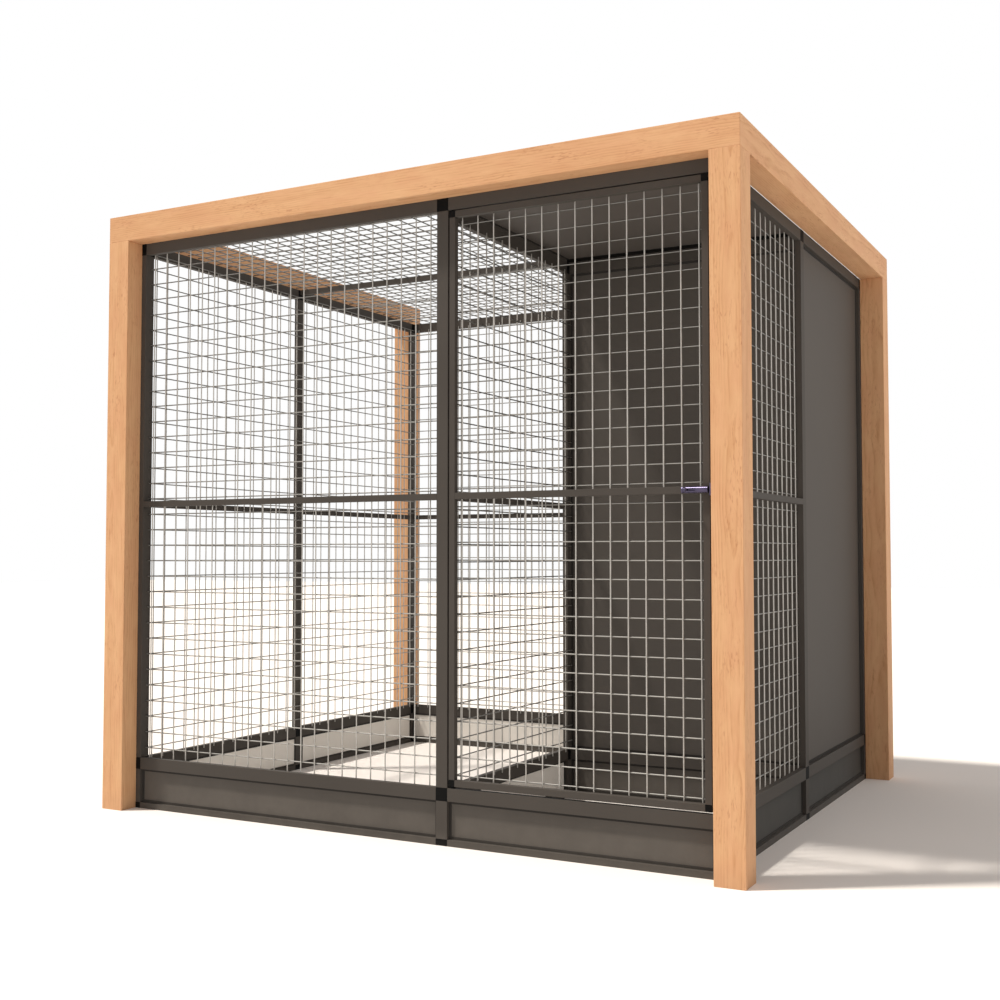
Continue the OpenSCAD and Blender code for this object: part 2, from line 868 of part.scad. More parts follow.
module barrel_groove() {
    difference() {
        bolt_round(barrel_d + 2 * cut, barrel_w + groove_at, barrel_w + groove_at + groove_w);
        bolt_round(barrel_d - 2 * groove_depth, barrel_w, barrel_e);
    }
}

// The barrel stands on a foot, and the knob's stem moves in a slot at its front
module bolt_barrel() {
    slot = stem_d + 4 * running_gap;
    color(bolt_colour) placed() difference() {
        union() {
            difference() {
                bolt_round(barrel_d, barrel_w, barrel_e);
                barrel_groove();
            }
            block([barrel_w, bolt_y, door_mid_z - foot_h / 2],
                [barrel_e, south, door_mid_z + foot_h / 2]);
        }
        bolt_round(rod_d + 2 * running_gap, barrel_w + barrel_end_wall, barrel_e + cut);
        block([knob_x - slot / 2, bolt_y - barrel_d, door_mid_z - slot / 2],
            [knob_x + bolt_travel + slot / 2, bolt_y, door_mid_z + slot / 2]);
        barrel_screw_holes();
    }
}

module bolt_rod() {
    color(bolt_colour) placed() {
        bolt_round(rod_d, rod_w, rod_e);
        translate([knob_x, bolt_y, door_mid_z]) rotate([90, 0, 0]) cylinder(d = stem_d, h = knob_reach);
        translate([knob_x, bolt_y - knob_reach, door_mid_z]) sphere(d = knob_d);
    }
}

module keeper_screw_set(d, y0, y1) {
    for (rise = [-keeper_screw_rise, keeper_screw_rise]) {
        translate([keeper_screw_x, y0, door_mid_z + rise])
            rotate([-90, 0, 0]) cylinder(d = d, h = y1 - y0);
    }
}

// The rod enters a square slot in the keeper
module bolt_keeper() {
    half = keeper_slot / 2;
    color(bolt_colour) placed() difference() {
        block([keeper_w0, keeper_s, door_mid_z - keeper_h / 2],
            [keeper_e0, south, door_mid_z + keeper_h / 2]);
        block([keeper_w0 - cut, bolt_y - half, door_mid_z - half],
            [keeper_e0 + cut, bolt_y + half, door_mid_z + half]);
        keeper_screw_set(screw_d + 2 * running_gap, keeper_s - cut, south + cut);
    }
}

module bolt_screws() {
    color(steel_colour) placed() {
        barrel_screw_set(screw_d, south - screw_grip + end_play, south_in + cut);
        barrel_screw_set(2 * screw_d, south_in, south_in + screw_head_h);
    }
}

module keeper_screws() {
    color(steel_colour) placed() {
        keeper_screw_set(screw_d, keeper_s - cut, south);
        keeper_screw_set(2 * screw_d, keeper_s - screw_head_h, keeper_s);
    }
}

post_front_left();
post_front_right();
post_rear_left();
post_rear_right();
beam_front();
beam_left();
beam_right();
beam_dowels();
frame_pins();
corner_tubes();
front_centre_post();
rear_centre_post();
left_mid_post();
right_mid_post();
inner_post();
front_top_rail();
rear_top_rail();
left_top_rail();
right_top_rail();
front_kick_rails();
rear_kick_rails();
left_kick_rails();
right_kick_rails();
mid_rails();
partition_top_rail();
partition_kick_rails();
shelter_top_rail();
shelter_kick_rails();
roof_centre_beam();
roof_cross_beam();
frame_connectors();
front_mesh();
left_mesh();
rear_mesh();
right_mesh();
partition_mesh();
roof_mesh();
outer_kick_panels();
inner_kick_panels();
right_panel();
rear_panel();
shelter_side_panel();
shelter_front_panel();
roof_panels();
panel_seals();
roof_strip();
hatch_trim();
door_hinge_stile();
door_latch_stile();
door_rails();
door_connectors();
door_mesh();
pivot_pins();
pivot_washers();
bolt_barrel();
bolt_rod();
bolt_keeper();
bolt_screws();
keeper_screws();
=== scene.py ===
import bpy
import math
import numpy as np
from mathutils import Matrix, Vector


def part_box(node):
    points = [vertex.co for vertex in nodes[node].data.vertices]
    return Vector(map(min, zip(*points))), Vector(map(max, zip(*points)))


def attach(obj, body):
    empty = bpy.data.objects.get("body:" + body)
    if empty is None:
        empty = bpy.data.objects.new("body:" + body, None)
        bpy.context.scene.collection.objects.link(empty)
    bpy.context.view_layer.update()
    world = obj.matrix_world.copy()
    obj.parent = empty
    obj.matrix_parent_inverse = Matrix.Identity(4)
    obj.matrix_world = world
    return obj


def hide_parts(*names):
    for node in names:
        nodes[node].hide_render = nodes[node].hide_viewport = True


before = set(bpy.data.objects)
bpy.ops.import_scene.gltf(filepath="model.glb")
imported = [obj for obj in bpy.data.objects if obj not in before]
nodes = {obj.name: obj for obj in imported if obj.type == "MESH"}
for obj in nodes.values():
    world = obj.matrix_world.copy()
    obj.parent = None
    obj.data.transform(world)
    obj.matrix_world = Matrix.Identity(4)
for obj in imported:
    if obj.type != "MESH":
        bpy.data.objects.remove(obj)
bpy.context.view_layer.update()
print("Frame loaded:", len(nodes), "nodes")


# Mesh helpers

# The separate solids of a CAD node, as two arrays of box corners. Corners at one place become one
# point. Each face hands the lowest label among its corners to all of them until nothing changes.
def looseParts(nodeName):
    mesh = nodes[nodeName].data
    mesh.calc_loop_triangles()
    place = np.empty(len(mesh.vertices) * 3)
    mesh.vertices.foreach_get("co", place)
    corner = np.empty(len(mesh.loop_triangles) * 3, dtype=np.int32)
    mesh.loop_triangles.foreach_get("vertices", corner)
    points, same = np.unique(place.reshape(-1, 3).round(5), axis=0, return_inverse=True)
    triangle = same.reshape(-1)[corner].reshape(-1, 3)
    label = np.arange(len(points))
    while True:
        spread = label.copy()
        np.minimum.at(spread, triangle.ravel(), label[triangle].min(axis=1).repeat(3))
        spread = spread[spread]
        if np.array_equal(spread, label):
            break
        label = spread
    roots, part = np.unique(label, return_inverse=True)
    low = np.full((len(roots), 3), np.inf)
    high = np.full((len(roots), 3), -np.inf)
    np.minimum.at(low, part, points)
    np.maximum.at(high, part, points)
    return low, high


# A new object from points, faces in sets of equal length, and one normal for each corner of a face.
def newPiece(name, points, faceSets, normals, body, replaced=()):
    mesh = bpy.data.meshes.new(name)
    faces = [face for faceSet in faceSets for face in faceSet.tolist()]
    mesh.from_pydata(points, [], faces)
    mesh.polygons.foreach_set("use_smooth", np.ones(len(faces), dtype=bool))
    if normals is not None:
        mesh.normals_split_custom_set(normals)
    mesh.update()
    piece = bpy.data.objects.new(name, mesh)
    bpy.context.scene.collection.objects.link(piece)
    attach(piece, body)
    if replaced:
        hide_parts(*replaced)
    return piece


# Bars with rounded edges. Each is its box shrunk by the radius and grown again by a round one:
# point = shrunk corner + radius * n(u, v), with n = (sin v * cos u, sin v * sin u, -cos v),
# where u turns once round the bar and v goes from one end to the other.
def roundedBars(low, high, radius, steps):
    count = len(low)
    along = np.argmax(high - low, axis=1)
    order = np.stack([(along + 1) % 3, (along + 2) % 3, along], axis=1)
    rows = np.arange(count)[:, None]
    centre = ((low + high) / 2)[rows, order]
    half = ((high - low) / 2)[rows, order]

    quarter = np.arange(4).repeat(steps + 1)
    u = np.radians(90) * (quarter + np.tile(np.arange(steps + 1) / steps, 4))
    middle = np.radians(90) * (quarter + 0.5)
    sideSign = np.stack([np.sign(np.cos(middle)), np.sign(np.sin(middle))], axis=1)
    firstV = np.radians(20)
    climb = firstV + (np.radians(90) - firstV) * np.arange(steps + 1) / steps
    v = np.concatenate([climb, np.pi - climb[::-1]])
    endSign = np.repeat([-1.0, 1.0], steps + 1)

    ring, turn = len(v), len(u)
    normal = np.empty((ring, turn, 3))
    normal[..., 0] = np.sin(v)[:, None] * np.cos(u)
    normal[..., 1] = np.sin(v)[:, None] * np.sin(u)
    normal[..., 2] = -np.cos(v)[:, None]
    push = normal * np.array([1, 1, 1 / np.cos(firstV)])
    point = np.empty((count, ring, turn, 3))
    point[..., :2] = sideSign * (half[:, None, None, :2] - radius)
    point[..., 2] = endSign[:, None] * (half[:, None, None, 2] - radius)
    point += centre[:, None, None, :] + radius * push

    back = np.argsort(order, axis=1)
    point = np.take_along_axis(point, back[:, None, None, :], axis=3)
    turned = np.broadcast_to(normal, point.shape)
    turned = np.take_along_axis(turned, back[:, None, None, :], axis=3)

    i, k = np.meshgrid(np.arange(ring - 1), np.arange(turn), indexing="ij")
    after = (k + 1) % turn
    quad = np.stack([i * turn + k, i * turn + after, (i + 1) * turn + after, (i + 1) * turn + k], axis=-1)
    first = (np.arange(count) * ring * turn)[:, None, None]
    quads = (quad.reshape(1, -1, 4) + first).reshape(-1, 4)
    nearEnd = np.arange(turn)[::-1] + first[:, 0]
    farEnd = (ring - 1) * turn + np.arange(turn) + first[:, 0]

    flat = np.zeros((count, 3))
    flat[np.arange(count), along] = 1
    normals = np.concatenate([
        turned.reshape(-1, 3)[quads.ravel()],
        (-flat).repeat(turn, axis=0),
        flat.repeat(turn, axis=0),
    ])
    return point.reshape(-1, 3), (quads, nearEnd, farEnd), normals


# Timber: posts and beams with planed, rounded edges

timberWork = {
    "edgeRadius": 0.0018,
    "edgeSteps": 3,
    # Mitred ends: which end of the beam, the corner to measure from, and the slope of the cut
    "mitres": {
        "beam_front": [("near", "low", (0, 1, 0)), ("far", "low", (0, -1, 0))],
        "beam_left": [("near", "low", (1, 0, 0))],
        "beam_right": [("near", "high", (-1, 0, 0))],
    },
}
timberNodes = [
    "post_front_left", "post_front_right", "post_rear_left", "post_rear_right",
    "beam_front", "beam_left", "beam_right",
]


def timberPiece(nodeName):
    low, high = (np.array([corner]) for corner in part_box(nodeName))
    points, faces, normals = roundedBars(low, high, timberWork["edgeRadius"], timberWork["edgeSteps"])
    axis = int(np.argmax(high - low))
    middle = (low + high)[0, axis] / 2
    near = points[:, axis] < middle
    for end, corner, slope in timberWork["mitres"].get(nodeName, []):
        origin = low[0] if corner == "low" else high[0]
        shift = (points - origin) @ np.array(slope)
        chosen = near if end == "near" else ~near
        points[:, axis] += np.where(chosen, shift, 0)
    piece = newPiece(nodeName + "_planed", points, faces, normals, "run", [nodeName])
    return piece, axis, low[0], high[0]


timberPieces = [timberPiece(name) for name in timberNodes]
print("Timber pieces:", len(timberPieces))


# Metal tubes: every bar with the small outer radius that drawn box tube has

tubeWork = {"edgeRadius": 0.0010, "edgeSteps": 2}
tubeNodes = {
    "run": [
        "corner_tubes", "front_centre_post", "rear_centre_post", "left_mid_post", "right_mid_post",
        "inner_post", "front_top_rail", "rear_top_rail", "left_top_rail", "right_top_rail",
        "front_kick_rails", "rear_kick_rails", "left_kick_rails", "right_kick_rails", "mid_rails",
        "partition_top_rail", "partition_kick_rails", "shelter_top_rail", "shelter_kick_rails",
        "roof_centre_beam", "roof_cross_beam",
    ],
    "door": ["door_hinge_stile", "door_latch_stile", "door_rails"],
}


def tubePiece(nodeName, body):
    low, high = looseParts(nodeName)
    points, faces, normals = roundedBars(low, high, tubeWork["edgeRadius"], tubeWork["edgeSteps"])
    return newPiece(nodeName + "_coated", points, faces, normals, body, [nodeName])


tubePieces = [tubePiece(name, body) for body, names in tubeNodes.items() for name in names]
print("Tube pieces:", len(tubePieces))


# Weld beads: a flat drop of metal wherever two wires of a mesh cross

beadWork = {"reach": 0.0027, "depth": 0.0018, "sides": 6, "ringAngles": (60, 120)}
meshNodes = {
    "run": ["front_mesh", "left_mesh", "rear_mesh", "right_mesh", "partition_mesh", "roof_mesh"],
    "door": ["door_mesh"],
}


# point = crossing + (reach * sin v * cos u, reach * sin v * sin u, depth * cos v), on a small grid
# of u and v, with a pole at each end. The third axis is the one across the mesh. A bead has one
# face for each side in the band between its two rings, and one for each side round either pole.
def weldBeads(nodeName, body):
    low, high = looseParts(nodeName)
    span = high - low
    across = int(np.argmin(high.max(axis=0) - low.min(axis=0)))
    first, second = (across + 1) % 3, (across + 2) % 3
    wiresA = np.flatnonzero(span[:, first] > span[:, second])
    wiresB = np.flatnonzero(span[:, first] <= span[:, second])
    a, b = (grid.ravel() for grid in np.meshgrid(wiresA, wiresB, indexing="ij"))
    meets = np.all(np.minimum(high[a], high[b])[:, [first, second]]
                   > np.maximum(low[a], low[b])[:, [first, second]], axis=1)
    a, b = a[meets], b[meets]
    middle = (low + high) / 2
    crossing = np.empty((len(a), 3))
    crossing[:, first] = middle[b, first]
    crossing[:, second] = middle[a, second]
    crossing[:, across] = (middle[a, across] + middle[b, across]) / 2

    sides = beadWork["sides"]
    u = 2 * np.pi * np.arange(sides) / sides
    v = np.radians(beadWork["ringAngles"])
    grid = np.stack([
        np.outer(np.sin(v), np.cos(u)).ravel(),
        np.outer(np.sin(v), np.sin(u)).ravel(),
        np.cos(v).repeat(sides),
    ], axis=1)
    unit = np.concatenate([grid, [[0, 0, 1], [0, 0, -1]]])
    shape = np.empty_like(unit)
    shape[:, [first, second]] = unit[:, :2] * beadWork["reach"]
    shape[:, across] = unit[:, 2] * beadWork["depth"]
    points = (crossing[:, None, :] + shape).reshape(-1, 3)

    k = np.arange(sides)
    after = (k + 1) % sides
    band = np.stack([k, sides + k, sides + after, after], axis=1)
    top = np.stack([k, after, np.full(sides, 2 * sides)], axis=1)
    base = np.stack([sides + after, sides + k, np.full(sides, 2 * sides + 1)], axis=1)
    first = (np.arange(len(a)) * len(unit))[:, None, None]
    bands = (band + first).reshape(-1, 4)
    caps = (np.concatenate([top, base]) + first).reshape(-1, 3)
    return newPiece(nodeName + "_welds", points, (bands, caps), None, body)


beadPieces = [weldBeads(name, body) for body, names in meshNodes.items() for name in names]
beadFaces = 3 * beadWork["sides"]
print("Weld beads:", sum(len(piece.data.polygons) // beadFaces for piece in beadPieces))


# Material helpers

# Links each socket that is given as a value, and writes every other value into its socket
def feed(tree, sockets, values):
    for name, value in values.items():
        if isinstance(value, bpy.types.NodeSocket):
            tree.links.new(value, sockets[name])
        else:
            sockets[name].default_value = value


def addNode(tree, kind, inputs=None, **settings):
    made = tree.nodes.new("ShaderNode" + kind)
    for name, value in settings.items():
        setattr(made, name, value)
    feed(tree, made.inputs, inputs or {})
    return made


def calculate(tree, operation, first, second=0.0, third=0.0, clamp=False):
    made = addNode(tree, "Math", {0: first, 1: second, 2: third}, operation=operation, use_clamp=clamp)
    return made.outputs[0]


# Gains contrast: the value times a gain, plus an offset, kept between 0 and 1
def contrast(tree, value, gain, offset):
    return calculate(tree, "MULTIPLY_ADD", value, gain, offset, clamp=True)


# The colour sockets of a Mix node are its inputs 6 and 7 and its output 2
def mixColour(tree, factor, first, second, blend="MIX"):
    made = addNode(tree, "Mix", {0: factor, 6: first, 7: second}, data_type="RGBA", blend_type=blend)
    return made.outputs[2]


def newGroup(name, inputs, outputs):
    tree = bpy.data.node_groups.new(name, "ShaderNodeTree")
    for socketName, kind, value in inputs:
        kindName = "NodeSocket" + kind
        socket = tree.interface.new_socket(name=socketName, in_out="INPUT", socket_type=kindName)
        if value is not None:
            socket.default_value = value
    for socketName, kind in outputs:
        tree.interface.new_socket(name=socketName, in_out="OUTPUT", socket_type="NodeSocket" + kind)
    return tree, tree.nodes.new("NodeGroupInput").outputs, tree.nodes.new("NodeGroupOutput")


def useGroup(tree, group, inputs):
    made = tree.nodes.new("ShaderNodeGroup")
    made.node_tree = group
    feed(tree, made.inputs, inputs)
    return made.outputs


def stretch(tree, vector, scale):
    return addNode(tree, "VectorMath", {0: vector, 1: scale}, operation="MULTIPLY").outputs[0]


def noise(tree, vector, scale, detail=2.0, roughness=0.5):
    inputs = {"Vector": vector, "Scale": scale, "Detail": detail, "Roughness": roughness}
    return addNode(tree, "TexNoise", inputs).outputs["Fac"]


# Patterns of the grain: cycles per metre across it twice and then along it, with the contrast where
# the group itself applies one
grainPatterns = {
    "uneven": {"scale": (60, 60, 12), "detail": 2.0, "contrast": (3.2, -1.1)},
    "fibre": {"scale": (700, 700, 22), "detail": 3.0, "roughness": 0.6},
    "dots": {"scale": (340, 340, 48), "detail": 1.0, "contrast": (9.0, -5.2)},
    "crowd": {"scale": (20, 20, 6), "detail": 2.0, "contrast": (5.0, -2.2)},
    "streak": {"scale": (34, 34, 1.6), "detail": 3.0},
    "blotch": {"scale": (22, 22, 8), "detail": 3.0},
}
# A slow bend draws the long arches of flat-sawn boards, and a quick one makes each ring tremble.
# Each has its cycles per metre and its share of the waviness.
grainBends = [((6, 6, 2.4), 1.0), ((40, 40, 11), 0.10)]
# A ring darkens late towards its outer edge, and fades fast after it
ringShape = {"lateSharpness": 3.5, "fadeSpeed": 7.0}


def grainPattern(tree, vector, name):
    pattern = grainPatterns[name]
    scaled = stretch(tree, vector, pattern["scale"])
    value = noise(tree, scaled, 1.0, pattern["detail"], pattern.get("roughness", 0.5))
    if "contrast" in pattern:
        value = contrast(tree, value, *pattern["contrast"])
    return value


# Wood: the grain runs along Z, and the pith lies on the Z axis of the vector that comes in
def makeWoodGrain():
    tree, given, out = newGroup(
        "woodGrain",
        [("Vector", "Vector", None), ("Ring Width", "Float", 0.006), ("Waviness", "Float", 0.03)],
        [("Ring", "Float"), ("Fibre", "Float"), ("Fleck", "Float"), ("Streak", "Float"), ("Blotch", "Float")],
    )
    vector = given["Vector"]
    bent = vector
    for scale, share in grainBends:
        place = stretch(tree, vector, scale)
        drift = addNode(tree, "TexNoise", {"Vector": place, "Scale": 1.0, "Detail": 2.0}).outputs["Color"]
        centred = addNode(tree, "VectorMath", {0: drift, 1: (0.5, 0.5, 0.5)}, operation="SUBTRACT")
        reach = calculate(tree, "MULTIPLY", given["Waviness"], share)
        push = addNode(tree, "VectorMath", {0: centred.outputs[0], "Scale": reach}, operation="SCALE")
        bent = addNode(tree, "VectorMath", {0: bent, 1: push.outputs[0]}, operation="ADD").outputs[0]
    across = stretch(tree, bent, (1, 1, 0))
    radius = addNode(tree, "VectorMath", {0: across}, operation="LENGTH").outputs["Value"]
    phase = calculate(tree, "FRACT", calculate(tree, "DIVIDE", radius, given["Ring Width"]))
    late = calculate(tree, "POWER", phase, ringShape["lateSharpness"])
    faded = calculate(tree, "MULTIPLY", phase, ringShape["fadeSpeed"])
    early = calculate(tree, "SUBTRACT", 1.0, faded, clamp=True)
    ring = calculate(tree, "MAXIMUM", late, early)
    dots = grainPattern(tree, bent, "dots")
    feed(tree, out.inputs, {
        "Ring": calculate(tree, "MULTIPLY", ring, grainPattern(tree, vector, "uneven")),
        "Fibre": grainPattern(tree, vector, "fibre"),
        "Fleck": calculate(tree, "MULTIPLY", dots, grainPattern(tree, vector, "crowd")),
        "Streak": grainPattern(tree, bent, "streak"),
        "Blotch": grainPattern(tree, vector, "blotch"),
    })
    return tree


# Fine texture of a coating or a moulding: a height for bump, and a slow change from place to place
def makeFineTexture():
    tree, given, out = newGroup(
        "fineTexture",
        [
            ("Vector", "Vector", None),
            ("Grains Per Metre", "Float", 700.0),
            ("Patches Per Metre", "Float", 3.0),
        ],
        [("Height", "Float"), ("Patch", "Float")],
    )
    feed(tree, out.inputs, {
        "Height": noise(tree, given["Vector"], given["Grains Per Metre"], 2.0),
        "Patch": noise(tree, given["Vector"], given["Patches Per Metre"], 3.0),
    })
    return tree


# Dust that thins out with height above the ground, in soft patches
dustPatches = {"scale": 14.0, "detail": 4.0, "roughness": 0.6}


def makeGroundDust():
    tree, given, out = newGroup(
        "groundDust",
        [("Vector", "Vector", None), ("Reach", "Float", 0.12)],
        [("Mask", "Float")],
    )
    height = addNode(tree, "SeparateXYZ", {0: given["Vector"]}).outputs["Z"]
    fade = calculate(tree, "SUBTRACT", 1.0, calculate(tree, "DIVIDE", height, given["Reach"]), clamp=True)
    patch = noise(tree, given["Vector"], **dustPatches)
    feed(tree, out.inputs, {"Mask": calculate(tree, "MULTIPLY", fade, patch)})
    return tree


woodGrain = makeWoodGrain()
fineTexture = makeFineTexture()
groundDust = makeGroundDust()


def newMaterial(name):
    material = bpy.data.materials.new(name)
    material.use_nodes = True
    tree = material.node_tree
    shader = tree.nodes["Principled BSDF"]
    place = addNode(tree, "TexCoord").outputs["Object"]
    return material, tree, shader, place


def bump(tree, height, strength, distance):
    inputs = {"Height": height, "Strength": strength, "Distance": distance}
    return addNode(tree, "Bump", inputs).outputs["Normal"]


def between(tree, mask, low, high):
    return calculate(tree, "MULTIPLY_ADD", mask, high - low, low)


def paint(pieces, material):
    for piece in pieces:
        if not piece.data.materials:
            piece.data.materials.append(material)
        for index in range(len(piece.data.materials)):
            piece.data.materials[index] = material


def paintNodes(names, material):
    paint([nodes[name] for name in names], material)


# Timber: light oiled softwood

woodLook = {
    "light": (0.745, 0.430, 0.226, 1),
    "dark": (0.525, 0.246, 0.105, 1),
    "pink": (0.69, 0.355, 0.190, 1),
    "fleck": (0.36, 0.12, 0.045, 1),
    "ringWidth": 0.0068,
    "waviness": 0.034,
    "ringDepth": 0.58,
    "fibreContrast": (4.0, -1.5),
    "fibreDepth": 0.17,
    "streakContrast": (3.0, -1.0),
    "streakDepth": 0.22,
    "blotchContrast": (3.6, -1.3),
    "blotchDepth": 0.60,
    "fleckDepth": 0.50,
    "dustColour": (0.33, 0.22, 0.15, 1),
    "dustReach": 0.07,
    "dust": 0.35,
    "roughness": (0.55, 0.70),
    "gloss": 0.2,
    "bump": 0.25,
    "bumpDepth": 0.0004,
    # Distance of the pith from the middle of each piece, in the two directions across the grain
    "pith": [(0.022, 0.064), (-0.016, 0.070), (0.030, -0.066), (-0.024, -0.058),
             (0.060, 0.020), (-0.064, 0.024), (0.066, -0.022)],
    # Distance along the grain from the start of one piece's pattern to the next one's
    "shiftAlong": 0.37,
}
# Turns that bring each axis of the object onto Z
grainTurns = [(0, -math.pi / 2, 0), (math.pi / 2, 0, 0), (0, 0, 0)]


def timberMaterial(name, axis, low, high, pith, shiftAlong):
    material, tree, shader, place = newMaterial(name)
    middle = (low + high) / 2
    turned = [(-middle[2], middle[1]), (middle[0], -middle[2]), (middle[0], middle[1])][axis]
    location = (pith[0] - turned[0], pith[1] - turned[1], shiftAlong)
    inputs = {"Vector": place, "Location": location, "Rotation": grainTurns[axis]}
    vector = addNode(tree, "Mapping", inputs).outputs["Vector"]
    grain = useGroup(tree, woodGrain, {
        "Vector": vector, "Ring Width": woodLook["ringWidth"], "Waviness": woodLook["waviness"],
    })
    darkness = calculate(tree, "MULTIPLY", grain["Ring"], woodLook["ringDepth"])
    fibre = contrast(tree, grain["Fibre"], *woodLook["fibreContrast"])
    darkness = calculate(tree, "MULTIPLY_ADD", fibre, woodLook["fibreDepth"], darkness)
    streak = contrast(tree, grain["Streak"], *woodLook["streakContrast"])
    darkness = calculate(tree, "MULTIPLY_ADD", streak, woodLook["streakDepth"], darkness, clamp=True)
    blotch = contrast(tree, grain["Blotch"], *woodLook["blotchContrast"])
    blotch = calculate(tree, "MULTIPLY", blotch, woodLook["blotchDepth"])
    ground = mixColour(tree, blotch, woodLook["light"], woodLook["pink"])
    colour = mixColour(tree, darkness, ground, woodLook["dark"])
    fleck = calculate(tree, "MULTIPLY", grain["Fleck"], woodLook["fleckDepth"])
    colour = mixColour(tree, fleck, colour, woodLook["fleck"])
    dust = useGroup(tree, groundDust, {"Vector": place, "Reach": woodLook["dustReach"]})["Mask"]
    dust = calculate(tree, "MULTIPLY", dust, woodLook["dust"])
    colour = mixColour(tree, dust, colour, woodLook["dustColour"])
    feed(tree, shader.inputs, {
        "Base Color": colour,
        "Roughness": between(tree, grain["Fibre"], *woodLook["roughness"]),
        "Specular IOR Level": woodLook["gloss"],
        "Normal": bump(tree, grain["Fibre"], woodLook["bump"], woodLook["bumpDepth"]),
    })
    return material


for number, (piece, axis, low, high) in enumerate(timberPieces):
    name = "oiledTimber." + timberNodes[number]
    shiftAlong = woodLook["shiftAlong"] * number
    paint([piece], timberMaterial(name, axis, low, high, woodLook["pith"][number], shiftAlong))
print("Timber materials done")


# Coated metal and moulded parts share one recipe

patchContrast = (3.0, -1.0)


def coatedMaterial(name, look):
    material, tree, shader, place = newMaterial(name)
    texture = useGroup(tree, fineTexture, {
        "Vector": place, "Grains Per Metre": look["grains"], "Patches Per Metre": look["patches"],
    })
    patch = contrast(tree, texture["Patch"], *patchContrast)
    colour = mixColour(tree, patch, look["colour"], look["second"])
    dust = useGroup(tree, groundDust, {"Vector": place, "Reach": look["dustReach"]})["Mask"]
    dust = calculate(tree, "MULTIPLY", dust, look["dust"])
    colour = mixColour(tree, dust, colour, look["dustColour"])
    feed(tree, shader.inputs, {
        "Base Color": colour,
        "Roughness": between(tree, texture["Patch"], *look["roughness"]),
        "Metallic": look["metallic"],
        "Specular IOR Level": look["gloss"],
        "Normal": bump(tree, texture["Height"], look["bump"], look["bumpDepth"]),
    })
    return material


dustTone = (0.30, 0.26, 0.22, 1)
frameLook = {
    "colour": (0.067, 0.057, 0.049, 1), "second": (0.076, 0.065, 0.056, 1),
    "grains": 800.0, "patches": 2.5, "bump": 0.12, "bumpDepth": 0.0002,
    "roughness": (0.54, 0.66), "metallic": 0.0, "gloss": 0.10,
    "dust": 0.25, "dustReach": 0.05, "dustColour": dustTone,
}
panelLook = {
    "colour": (0.086, 0.074, 0.064, 1), "second": (0.097, 0.084, 0.073, 1),
    "grains": 500.0, "patches": 1.6, "bump": 0.08, "bumpDepth": 0.0002,
    "roughness": (0.56, 0.68), "metallic": 0.0, "gloss": 0.12,
    "dust": 0.20, "dustReach": 0.10, "dustColour": dustTone,
}
plasticLook = {
    "colour": (0.0035, 0.0033, 0.0032, 1), "second": (0.0060, 0.0055, 0.0052, 1),
    "grains": 1400.0, "patches": 9.0, "bump": 0.2, "bumpDepth": 0.0002,
    "roughness": (0.60, 0.75), "metallic": 0.0, "gloss": 0.08,
    "dust": 0.05, "dustReach": 0.03, "dustColour": dustTone,
}
rubberLook = {
    "colour": (0.036, 0.032, 0.029, 1), "second": (0.044, 0.039, 0.035, 1),
    "grains": 900.0, "patches": 6.0, "bump": 0.15, "bumpDepth": 0.0002,
    "roughness": (0.70, 0.85), "metallic": 0.0, "gloss": 0.08,
    "dust": 0.25, "dustReach": 0.06, "dustColour": dustTone,
}
wireLook = {
    "colour": (0.43, 0.405, 0.370, 1), "second": (0.50, 0.470, 0.435, 1),
    "grains": 1600.0, "patches": 30.0, "bump": 0.15, "bumpDepth": 0.0001,
    "roughness": (0.40, 0.50), "metallic": 0.65, "gloss": 0.3,
    "dust": 0.0, "dustReach": 0.05, "dustColour": dustTone,
}
boltLook = {
    "colour": (0.060, 0.048, 0.095, 1), "second": (0.082, 0.066, 0.125, 1),
    "grains": 1800.0, "patches": 40.0, "bump": 0.08, "bumpDepth": 0.0001,
    "roughness": (0.18, 0.28), "metallic": 0.55, "gloss": 0.6,
    "dust": 0.0, "dustReach": 0.05, "dustColour": dustTone,
}
steelLook = {
    "colour": (0.50, 0.50, 0.49, 1), "second": (0.62, 0.61, 0.60, 1),
    "grains": 1800.0, "patches": 60.0, "bump": 0.1, "bumpDepth": 0.0001,
    "roughness": (0.26, 0.40), "metallic": 1.0, "gloss": 0.5,
    "dust": 0.0, "dustReach": 0.05, "dustColour": dustTone,
}

# The roof's sheets are a little lighter than those of the walls. The rubber strip under them is made blacker
# than the other rubber, as painted shade for the shadow gap at the roof's edge
roofLook = dict(panelLook, colour=(0.100, 0.085, 0.074, 1), second=(0.112, 0.096, 0.084, 1))
stripPaintedShadeLook = dict(rubberLook, colour=(0.005, 0.0045, 0.004, 1), second=(0.008, 0.007, 0.006, 1))

frameCoat = coatedMaterial("satinFrameCoat", frameLook)
panelSheet = coatedMaterial("satinPanelSheet", panelLook)
roofSheet = coatedMaterial("satinRoofSheet", roofLook)
blackNylon = coatedMaterial("blackNylon", plasticLook)
edgeRubber = coatedMaterial("edgeRubber", rubberLook)
stripRubberPaintedShade = coatedMaterial("stripRubberPaintedShade", stripPaintedShadeLook)
darkBolt = coatedMaterial("darkBoltMetal", boltLook)
zincSteel = coatedMaterial("zincSteel", steelLook)


# Wire: the sides keep the bright wire colour. The tops and undersides carry painted shade, darker the higher
# they are, and the tops are painted darkest around the lobby, for the shade of its roof. Above the height
# given here it gets no darker.
wireShadeFade = {"height": 1.5, "sharpness": 2.5}
openWireShade = {
    "topLow": (0.30, 0.285, 0.262, 1), "topHigh": (0.13, 0.123, 0.113, 1),
    "underLow": (0.30, 0.282, 0.257, 1), "underHigh": (0.10, 0.094, 0.085, 1),
}
# Painted shade: in the lobby the tops are painted much darker, for the shade under its roof
lobbyWireShade = dict(
    openWireShade,
    topLow=(0.275, 0.261, 0.240, 1), topHigh=(0.038, 0.036, 0.033, 1),
)


